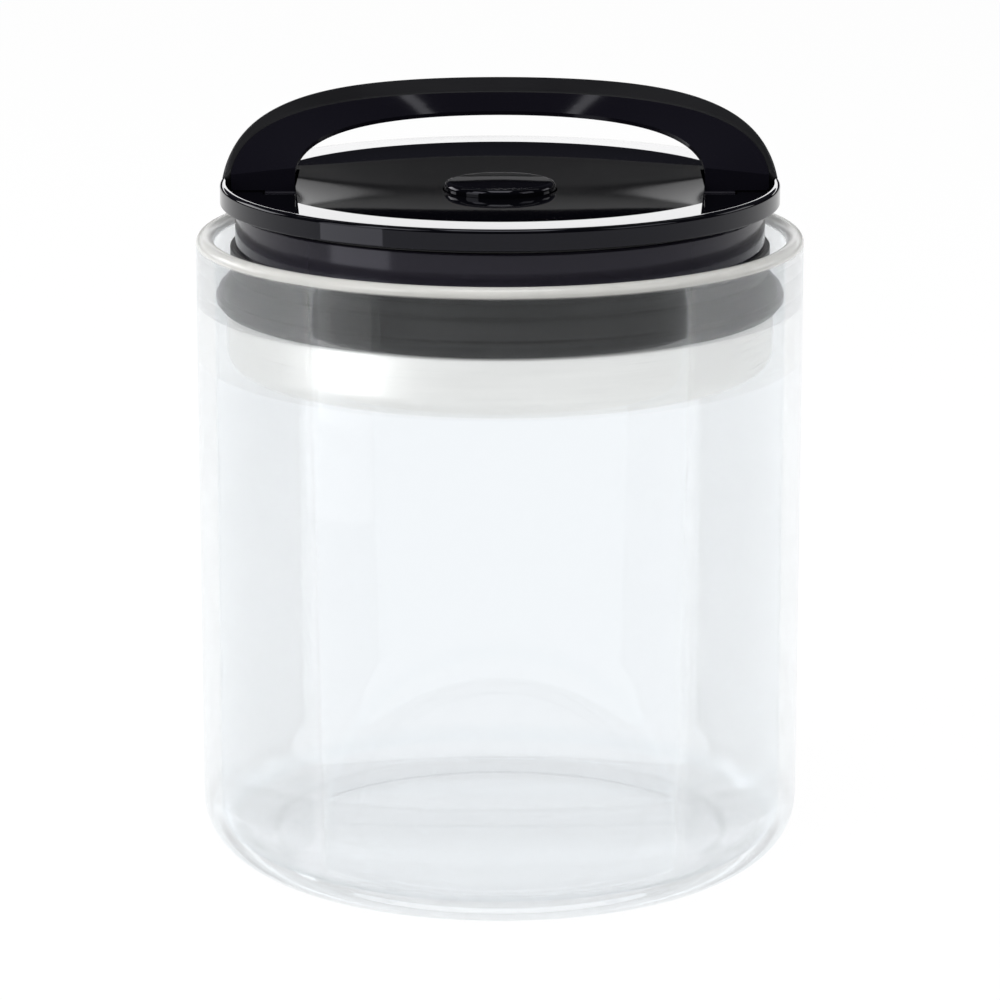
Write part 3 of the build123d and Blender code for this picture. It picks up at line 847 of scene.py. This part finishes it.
def box_plan(x_low, x_high, y_low, y_high):
    return [(x_low, y_low), (x_high, y_low), (x_high, y_high), (x_low, y_high)]


def on_both_sides(rings):
    """The same rings, and their mirror image."""
    return [rings, [[(-x, y, z) for x, y, z in reversed(ring)] for ring in rings]]


print("hinge axis, mm:", round(hinge_height * 1000, 1))

# %% [markdown]
# The grip sinks a little way into the ring's outer edge, so the recess for it follows the same
# curves as the handle. Each of the handle's edges is a curve in plan, bent along an arc seen from
# the side.

# %% Handle curves
HANDLE_WIDTH = 0.0148
OUTER_END = -0.0019
UNDER_DROP = 0.0075
UNDER_END = -0.0029
CREASE_SIDE = 0.002
CREASE_BACK = 0.0102
CREASE_DROP = 0.0018
CREASE_INSET = 0.0052
CREASE_END = 0.00005
INNER_DROP = 0.0051
INNER_INSET = 0.0102
INNER_END = 0.00155
INNER_EDGE = 0.0008
ROOM_GAP = 0.0003
ROOM_DEGREES = range(3, 20)

handle_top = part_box("handle_grip")[1][2]
handle_rise = handle_top - deck_top


def arc_level(y, inset, drop, end):
    """Height of a handle edge seen from the side: an arc from its end by the hinge to its top."""
    apex = ring_radius - inset
    fall = handle_rise - drop - end
    sweep = (apex ** 2 + fall ** 2) / (2 * fall)
    return handle_top - drop - sweep + math.sqrt(sweep ** 2 - (apex - y) ** 2)


def outer_level(y):
    return arc_level(y, 0, 0, OUTER_END)


def under_level(y):
    return arc_level(y, 0, UNDER_DROP, UNDER_END)


def crease_radius(angle):
    """Distance of the crease from the middle: an ellipse that leaves the grip wide at the back."""
    across = math.cos(angle) / (ring_radius - CREASE_SIDE)
    along = math.sin(angle) / (ring_radius - CREASE_BACK)
    return 1 / math.sqrt(across ** 2 + along ** 2)


def grip_room():
    """Rings of the recess in the ring's edge under the grip."""
    rings = []
    for degrees in ROOM_DEGREES:
        angle = math.radians(degrees)
        level = ring_radius * math.sin(angle)
        low, high = under_level(level) - ROOM_GAP, deck_top + handle_rise
        near, far = crease_radius(angle) - ROOM_GAP, ring_radius + RING_HEIGHT
        section = ((near, low), (far, low), (far, high), (near, high))
        rings.append([(r * math.cos(angle), r * math.sin(angle), z) for r, z in section])
    return rings


print("handle rise, mm:", round(handle_rise * 1000, 2))

# %% [markdown]
# Cutting is done with one union and one difference, each against a collection of solids, because
# that is faster and more robust than a chain of single cuts.

# %% Cutting tools
def gather(name, solids):
    """A collection of temporary solids."""
    group = bpy.data.collections.new(name)
    scene.collection.children.link(group)
    for number, rings in enumerate(solids):
        mesh = skin(f"{name}_{number}", rings, closed=False)
        group.objects.link(bpy.data.objects.new(mesh.name, mesh))
    return group


def combine(mesh, steps):
    """Applies unions and differences with collections, and clears the solids away."""
    blank = bpy.data.objects.new("blank", mesh)
    scene.collection.objects.link(blank)
    for operation, group in steps:
        cut = blank.modifiers.new(operation, "BOOLEAN")
        cut.operation = operation
        cut.operand_type = "COLLECTION"
        cut.collection = group
        cut.solver = "EXACT"
    bpy.context.view_layer.update()
    evaluated = blank.evaluated_get(bpy.context.evaluated_depsgraph_get())
    made = bpy.data.meshes.new_from_object(evaluated)
    bpy.data.objects.remove(blank)
    for operation, group in steps:
        for solid in list(group.objects):
            bpy.data.objects.remove(solid)
        bpy.data.collections.remove(group)
    return made


# %% [markdown]
# The tray under each pocket and the walls round each hinge are added first. Then the pockets, the
# rooms for barrels and necks, and the recess for the grip are cut, on both sides at once.

# %% Cover
barrel_reach = BARREL_RADIUS + BARREL_GAP
boss_reach = barrel_reach + SKIRT_WALL
neck_back = HINGE_PLACE + NECK_ROOM
tray_plan = pocket_plan(TRAY_WALL, skirt_radius - SKIRT_WALL / 2)
open_plan = pocket_plan(0, ring_radius - POCKET_RIM)
walls_plan = box_plan(
    pocket_wall - DECK_WALL,
    room_end + SKIRT_WALL,
    HINGE_PLACE - boss_reach,
    neck_back + SKIRT_WALL,
)
neck_plan = box_plan(pocket_wall, room_end, HINGE_PLACE, neck_back)
added = [
    prism(tray_plan, pocket_floor - TRAY_WALL, deck_top - DISH_WALL),
    prism(walls_plan, hinge_height - boss_reach, deck_top - DECK_WALL - SUPPORT),
]
removed = [
    prism(open_plan, pocket_floor, deck_top + RING_HEIGHT),
    rod(barrel_reach, pocket_wall, room_end),
    prism(neck_plan, hinge_height - barrel_reach, deck_top + RING_EDGE),
    grip_room(),
]
steps = [
    ("UNION", gather("added", [side for rings in added for side in on_both_sides(rings)])),
    ("DIFFERENCE", gather("removed", [side for rings in removed for side in on_both_sides(rings)])),
]
cover_mesh = combine(turned("cover_gloss", cover_outline(), COVER_STEPS), steps)
cover_mesh.name = "cover_gloss"
cover = add_object("cover_gloss", cover_mesh, "lid", "cover_black")
even_shading(cover)
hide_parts("top_cover")
print("cover faces:", len(cover.data.polygons))

# %% [markdown]
# ## Handle grip
# The handle is a bail in two plastics: a gloss inner band, and a matt outer band for the hand. The
# outer band is swept round the lid through many cross-sections, and a bevel rounds every edge,
# because the thin line of light along the crease shows the handle's shape in the photograph. The
# inner band stays as it was modelled.

# %% Grip
GRIP_START = math.radians(3.3)
GRIP_STEPS = 160
GRIP_EDGE = 0.0011
EDGE_STEPS = 4


def crease_low(angle):
    """Height of the grip's lower inner edge, on the line between the band's lower corners."""
    crease, inner = crease_radius(angle), ring_radius - HANDLE_WIDTH
    back = math.sin(angle)
    inner_low = arc_level(inner * back, INNER_INSET, INNER_DROP, INNER_END) - INNER_EDGE
    outer_low = under_level(ring_radius * back)
    return outer_low + (ring_radius - crease) / HANDLE_WIDTH * (inner_low - outer_low)


def grip_section(angle):
    """The four corners of the grip's cross-section at an angle round the lid."""
    crease, back = crease_radius(angle), math.sin(angle)
    corners = (
        (ring_radius, outer_level(ring_radius * back)),
        (ring_radius, under_level(ring_radius * back)),
        (crease, crease_low(angle)),
        (crease, arc_level(crease * back, CREASE_INSET, CREASE_DROP, CREASE_END)),
    )
    return [(radius * math.cos(angle), radius * back, height) for radius, height in corners]


sweep = math.pi - 2 * GRIP_START
stations = [GRIP_START + sweep * step / GRIP_STEPS for step in range(GRIP_STEPS + 1)]
grip_mesh = skin("grip_band", [grip_section(angle) for angle in stations], closed=False)
grip = add_object("grip_band", grip_mesh, "handle", "grip_black")
edge = grip.modifiers.new("soft edges", "BEVEL")
edge.width = GRIP_EDGE
edge.segments = EDGE_STEPS
edge.limit_method = "ANGLE"
edge.angle_limit = SHARP_ANGLE
even_shading(grip)
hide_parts("handle_grip")
print("grip faces:", len(grip.data.polygons))

# %% [markdown]
# ## Valve button
# The button is a shallow round cap in the middle of the dish. Its edge is rounded, and in the
# photograph the near part of that edge draws one bright arc. The hidden hub inside the solid's cap
# is left out here, and the edge is a little rounder than the solid's.

# %% Button
BUTTON_ROUND = 0.0011
BUTTON_WALL = 0.0012
BUTTON_CROWN = 0.00012
CROWN_SHARE = 0.7
BUTTON_ARC_STEPS = 8
BUTTON_STEPS = 160

button_radius, button_top, button_base = button_high[0], button_high[2], button_low[2]
button_inside = button_radius - BUTTON_WALL
button_outline = rounded([
    (0.0, button_top, 0),
    (button_radius * CROWN_SHARE, button_top - BUTTON_CROWN, 0),
    (button_radius, button_top - BUTTON_CROWN, BUTTON_ROUND),
    (button_radius, button_base, 0),
    (button_inside, button_base, 0),
    (button_inside, button_top - BUTTON_WALL, 0),
    (0.0, button_top - BUTTON_WALL, 0),
], BUTTON_ARC_STEPS)
button_mesh = turned("button_cap", button_outline, BUTTON_STEPS)
button = add_object("button_cap", button_mesh, "valve", "button_black")
even_shading(button)
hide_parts("valve_button")
print("button faces:", len(button.data.polygons))

# %% [markdown]
# ## Finish
# The view transform stays plain, so colours render as they are written.

# %% Finish
scene.view_settings.view_transform = "Standard"
